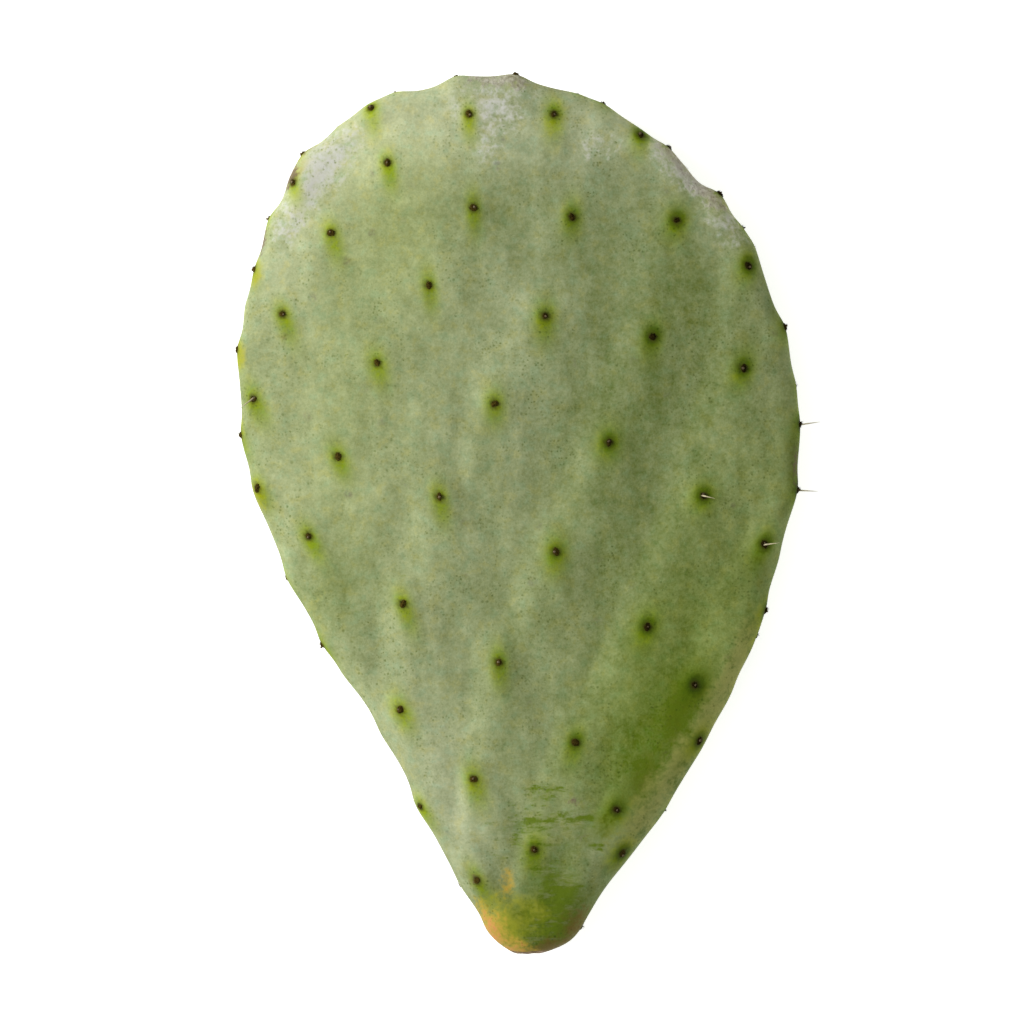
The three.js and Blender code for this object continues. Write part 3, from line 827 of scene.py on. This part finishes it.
    cracked = times(times(maths(tree, "MAXIMUM", cork, scar), cracks), crackDepth)
    raised = [times(patches[name], tall) for name, tall in heights.items()]
    dress(tree, shader, color, plus(*raised, times(pores, -poreDepth), cracked))
    return material


padSkin.data.materials.append(makeSkin())
print("skin material made")


def frameOn(normal):
    # two directions on the surface: towards the stem, and across
    normal = unit(normal)
    down = np.array([0.0, -1.0, 0.0]) - normal * -normal[1]
    if np.linalg.norm(down) < 0.2:
        down = np.array([0.0, 0.0, -1.0]) - normal * -normal[2]
    down = unit(down)
    return normal, down, np.cross(normal, down)


def onFloor(points):
    # keeps a piece's points above the surface that the pad lies on
    points = np.array(points)
    points[:, 2] = np.maximum(points[:, 2], floorHeight)
    return points


def fits(root, direction, length):
    # whether a hair or stub stays clear of the floor and inside the CAD pad's box
    gap = 0.1
    tip = root + unit(direction) * length
    low = (np.array(boxLow) - formShift) / toMetres
    high = (np.array(boxHigh) - formShift) / toMetres
    clear = min(root[2], tip[2]) > floorHeight + gap
    return bool(clear and np.all(tip >= low + gap) and np.all(tip <= high - gap))


feltLook = {"across": 1.0, "along": 1.15, "height": 0.75, "sunk": 0.3, "wrap": 0.56, "sides": 20, "rings": 8,
            "ragged": 0.2, "smallest": 0.8, "largest": 1.1, "uneven": (0.06, 0.2), "seed": 11}
toneLook = {"from": -30, "to": 55, "darker": 0.75, "least": 0.6}


def toneOf(areole, draw):
    # pale and brown on the left of the pad, nearly black on the right
    darker = toneLook["darker"] * float(rightwardBy(toneLook, areole["place"][0]))
    return (1 - darker) * draw.uniform(toneLook["least"], 1)


def makeFelt():
    look = feltLook
    draw = random.Random(look["seed"])
    points, faces, tones = [], [], []
    for a in areoles:
        normal, down, across = frameOn(a["normal"])
        size = draw.uniform(look["smallest"], look["largest"])
        lean, longer = draw.uniform(0, math.pi), draw.uniform(*look["uneven"])
        start = len(points)
        points.append(a["place"] + normal * (look["height"] - look["sunk"]))
        for ring in range(1, look["rings"] + 1):
            tilt = ring / look["rings"] * math.pi * look["wrap"]
            for k in range(look["sides"]):
                turn = 2 * math.pi * k / look["sides"]
                lump = size * (1 + draw.uniform(-1, 1) * look["ragged"] * (ring > 1))
                lump *= 1 + longer * math.cos(2 * (turn - lean))
                offset = (down * math.cos(turn) * look["along"]
                          + across * math.sin(turn) * look["across"])
                points.append(a["place"] + offset * math.sin(tilt) * lump
                              + normal * (look["height"] * math.cos(tilt) * lump - look["sunk"]))
        n = look["sides"]
        for k in range(n):
            faces.append((start, start + 1 + k, start + 1 + (k + 1) % n))
        for ring in range(look["rings"] - 1):
            inner = start + 1 + ring * n
            for k in range(n):
                faces.append((inner + k, inner + n + k, inner + n + (k + 1) % n, inner + (k + 1) % n))
        faces.append(tuple(start + 1 + (look["rings"] - 1) * n + k for k in reversed(range(n))))
        tones += [toneOf(a, draw)] * (len(points) - start)
    felt = makeMesh("areoleFelt", onFloor(points), faces)
    paint(felt, "tone", tones)
    return felt


def addNeedle(points, faces, root, direction, length, base, sides=4, steps=1, bend=None, tip=0.1):
    # a tapered needle, open at its sunken root
    direction = unit(direction)
    aside = unit(np.cross(direction, [0.31, 0.52, 0.79]))
    other = np.cross(direction, aside)
    start = len(points)
    for step in range(steps + 1):
        t = step / steps
        middle = root + direction * length * t + (0 if bend is None else bend * t * t)
        radius = base * (1 - (1 - tip) * t ** 1.3)
        for k in range(sides):
            turn = 2 * math.pi * k / sides
            points.append(middle + (aside * math.cos(turn) + other * math.sin(turn)) * radius)
    for step in range(steps):
        ring = start + step * sides
        for k in range(sides):
            faces.append((ring + k, ring + (k + 1) % sides, ring + sides + (k + 1) % sides, ring + sides + k))
    last = start + steps * sides
    faces.append(tuple(last + k for k in range(sides)))
    faces.append(tuple(start + k for k in reversed(range(sides))))


# Most bristles stand at the upper edge of the felt. They leave its inner share bare and stay within this
# much of its reach, and those nearest the middle are raised the most.
bristleLook = {"count": 24, "length": (0.45, 1.05), "thick": 0.05, "spread": 0.8, "fan": 1.3, "inner": 0.35,
               "within": 0.85, "raised": 0.45, "sunk": 0.05, "lean": (0.3, 1), "stray": 0.2, "seed": 23}


def makeBristles():
    look = bristleLook
    draw = random.Random(look["seed"])
    points, faces, tones = [], [], []
    for a in areoles:
        normal, down, across = frameOn(a["normal"])
        tone = toneOf(a, draw)
        for _ in range(look["count"]):
            turn = draw.gauss(math.pi, look["fan"])
            reach = draw.uniform(look["inner"], 1.0)
            root = (a["place"] + down * math.cos(turn) * reach * feltLook["along"] * look["within"]
                    + across * math.sin(turn) * reach * feltLook["across"] * look["within"]
                    + normal * (look["raised"] * (1 - reach) - look["sunk"]))
            lean = look["spread"] * reach * draw.uniform(*look["lean"])
            direction = normal + (down * math.cos(turn) + across * math.sin(turn)) * lean
            stray = look["stray"]
            direction = direction + np.array([draw.uniform(-stray, stray) for _ in range(3)])
            length = draw.uniform(*look["length"])
            if fits(root, direction, length):
                addNeedle(points, faces, root, direction, length, look["thick"], sides=3)
        tones += [tone] * (len(points) - len(tones))
    tuft = makeMesh("bristles", points, faces, smooth=False)
    paint(tuft, "tone", tones)
    return tuft


spineLook = {"length": 6.5, "base": 0.28, "tip": 0.12, "raised": 0.7, "sunk": 0.9, "bend": 0.25, "steps": 8}
# The row, order and face of each long spine's areole, then its heading and rise in degrees.
longSpines = [
    (0, 0, 1, 218, 20), (4, 3, 1, -14, 52), (5, 2, 1, 8, 40), ("rim", 9, 0, -3, 2), ("rim", 10, 0, 8, 2),
    (1, 0, -1, 20, -14), (3, 5, -1, 150, -16), (4, 1, -1, 200, -14),
]


def makeSpines():
    points, faces = [], []
    for row, order, face, heading, rise in longSpines:
        a = next(a for a in areoles if (a["row"], a["order"], a["face"]) == (row, order, face))
        heading, rise = math.radians(heading), math.radians(rise)
        level = math.cos(rise)
        direction = np.array([level * math.cos(heading), level * math.sin(heading), math.sin(rise)])
        root = a["place"] + a["normal"] * spineLook["raised"] - direction * spineLook["sunk"]
        bend = np.array([0, 0, -spineLook["bend"] if face >= 0 else spineLook["bend"]])
        addNeedle(points, faces, root, direction, spineLook["length"], spineLook["base"], sides=8,
                  steps=spineLook["steps"], bend=bend, tip=spineLook["tip"])
    needles = makeMesh("spines", onFloor(points), faces)
    paint(needles, "tone", np.ones(len(points)))
    return needles


stubLook = {"length": 0.85, "base": 0.42, "tip": 0.72, "missing": 0.3, "off": 0.35, "down": (-0.6, 0.4),
            "across": (-0.5, 0.5), "longer": (0.8, 1.2), "thicker": (0.7, 1.1), "tone": 0.5, "seed": 41}


def makeStubs():
    # the broken stub of a spine stands in the middle of most areoles
    draw = random.Random(stubLook["seed"])
    points, faces, tones = [], [], []
    for a in areoles:
        if draw.random() < stubLook["missing"]:
            continue
        normal, down, across = frameOn(a["normal"])
        direction = (normal + down * draw.uniform(*stubLook["down"])
                     + across * draw.uniform(*stubLook["across"]))
        off = stubLook["off"]
        root = a["place"] + down * draw.uniform(-off, off) + across * draw.uniform(-off, off)
        length = stubLook["length"] * draw.uniform(*stubLook["longer"])
        if fits(root, direction, length):
            base = stubLook["base"] * draw.uniform(*stubLook["thicker"])
            addNeedle(points, faces, root, direction, length, base, sides=8, steps=2, tip=stubLook["tip"])
        tones += [max(stubLook["tone"], toneOf(a, draw))] * (len(points) - len(tones))
    broken = makeMesh("spineStubs", points, faces)
    paint(broken, "tone", tones)
    return broken


# The dry pieces: the size of the paler patches in millimetres, and the height of the bumps in metres.
darkest = (0.004, 0.003, 0.001)
feltColors = {"dark": (0.02, 0.013, 0.002), "light": (0.11, 0.076, 0.012), "rough": 0.95, "shine": 0.02,
              "patch": 0.5, "bumps": 0.0001}
bristleColors = {"dark": (0.03, 0.02, 0.004), "light": (0.13, 0.09, 0.018), "rough": 0.8, "shine": 0.05,
                 "patch": 1.5, "bumps": 0.0}
spineColors = {"dark": (0.23, 0.2, 0.11), "light": (0.52, 0.47, 0.3), "rough": 0.5, "shine": 0.3,
               "patch": 2.0, "bumps": 0.00002}
stubColors = {"dark": (0.04, 0.026, 0.008), "light": (0.27, 0.21, 0.125), "rough": 0.9, "shine": 0.03,
              "patch": 0.6, "bumps": 0.00002}


def makeFibre(name, colors):
    material, tree, shader, position = newMaterial(name)
    patches = maskFrom(tree, mottle, {"Position": position, "Size": colors["patch"], "Fineness": 3.0,
                                      "Contrast": 2.2})
    color = blendColors(tree, patches, colors["dark"], colors["light"])
    color = blendColors(tree, painted(tree, "tone"), darkest, color)
    dress(tree, shader, color, maths(tree, "MULTIPLY", patches, colors["bumps"]))
    shader.inputs["Roughness"].default_value = colors["rough"]
    shader.inputs["Specular IOR Level"].default_value = colors["shine"]
    return material


pieces = [(padSkin, "pad_skin")]
for make, name, colors, slotName in ((makeFelt, "areoleFelt", feltColors, "areole_felt"),
                                     (makeBristles, "bristle", bristleColors, "areole_felt"),
                                     (makeSpines, "drySpine", spineColors, "spine"),
                                     (makeStubs, "brokenStub", stubColors, "spine")):
    piece = make()
    piece.data.materials.append(makeFibre(name, colors))
    pieces.append((piece, slotName))
print("felt, bristles and spines made")

for piece, slotName in pieces:
    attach(piece, "root")
    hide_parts("cactus_pad")

studio = {
    "floorColor": (0.9, 0.9, 0.9),
    "floorSize": 4.0,
    "floorGlow": 0.6,       # the floor is lit a little from below, like a light table
    # name, power, size and place; the fill is low down on the right and reaches little but the rim
    "lamps": [("key", 34.0, 0.7, (-1.35, 0.4, 0.95)), ("fill", 3.0, 0.8, (1.45, -0.35, 0.3))],
    "skyColor": (1.0, 1.0, 1.0),
    "skyStrength": 0.55,
    "cameraHeight": 1.8,
    "sensor": 36,
    "viewWidth": 314.2,      # millimetres seen across, this high above the floor
    "viewMiddle": (-2.3, 135.9),
    "viewHeight": 12,
}


def lightStudio():
    scene = bpy.context.scene
    bpy.ops.mesh.primitive_plane_add(size=studio["floorSize"], location=(0, 0, boxLow.z))
    floor = bpy.context.object
    floor.name = "floor"
    material, _, shader, _ = newMaterial("paleFloor")
    shader.inputs["Base Color"].default_value = (*studio["floorColor"], 1)
    shader.inputs["Roughness"].default_value = 0.9
    shader.inputs["Emission Color"].default_value = (1, 1, 1, 1)
    shader.inputs["Emission Strength"].default_value = studio["floorGlow"]
    floor.data.materials.append(material)

    world = bpy.data.worlds.new("softSky")
    world.use_nodes = True
    background = world.node_tree.nodes["Background"]
    background.inputs["Color"].default_value = (*studio["skyColor"], 1)
    background.inputs["Strength"].default_value = studio["skyStrength"]
    scene.world = world

    for name, power, size, place in studio["lamps"]:
        lamp = bpy.data.lights.new(name, "AREA")
        lamp.energy = power
        lamp.size = size
        lampObject = bpy.data.objects.new(name, lamp)
        lampObject.location = place
        lampObject.rotation_euler = (-Vector(place)).to_track_quat("-Z", "Y").to_euler()
        scene.collection.objects.link(lampObject)

    lens = bpy.data.cameras.new("camera")
    lens.sensor_width = studio["sensor"]
    middle = inFrame([[*studio["viewMiddle"], studio["viewHeight"] + floorHeight]])[0]
    distance = studio["cameraHeight"]
    lens.lens = studio["sensor"] * distance / (studio["viewWidth"] * toMetres)
    camera = bpy.data.objects.new("camera", lens)
    camera.location = (middle[0], middle[1], middle[2] + distance)
    scene.collection.objects.link(camera)
    scene.camera = camera
    scene.view_settings.view_transform = "Standard"
    scene.view_settings.look = "None"


lightStudio()
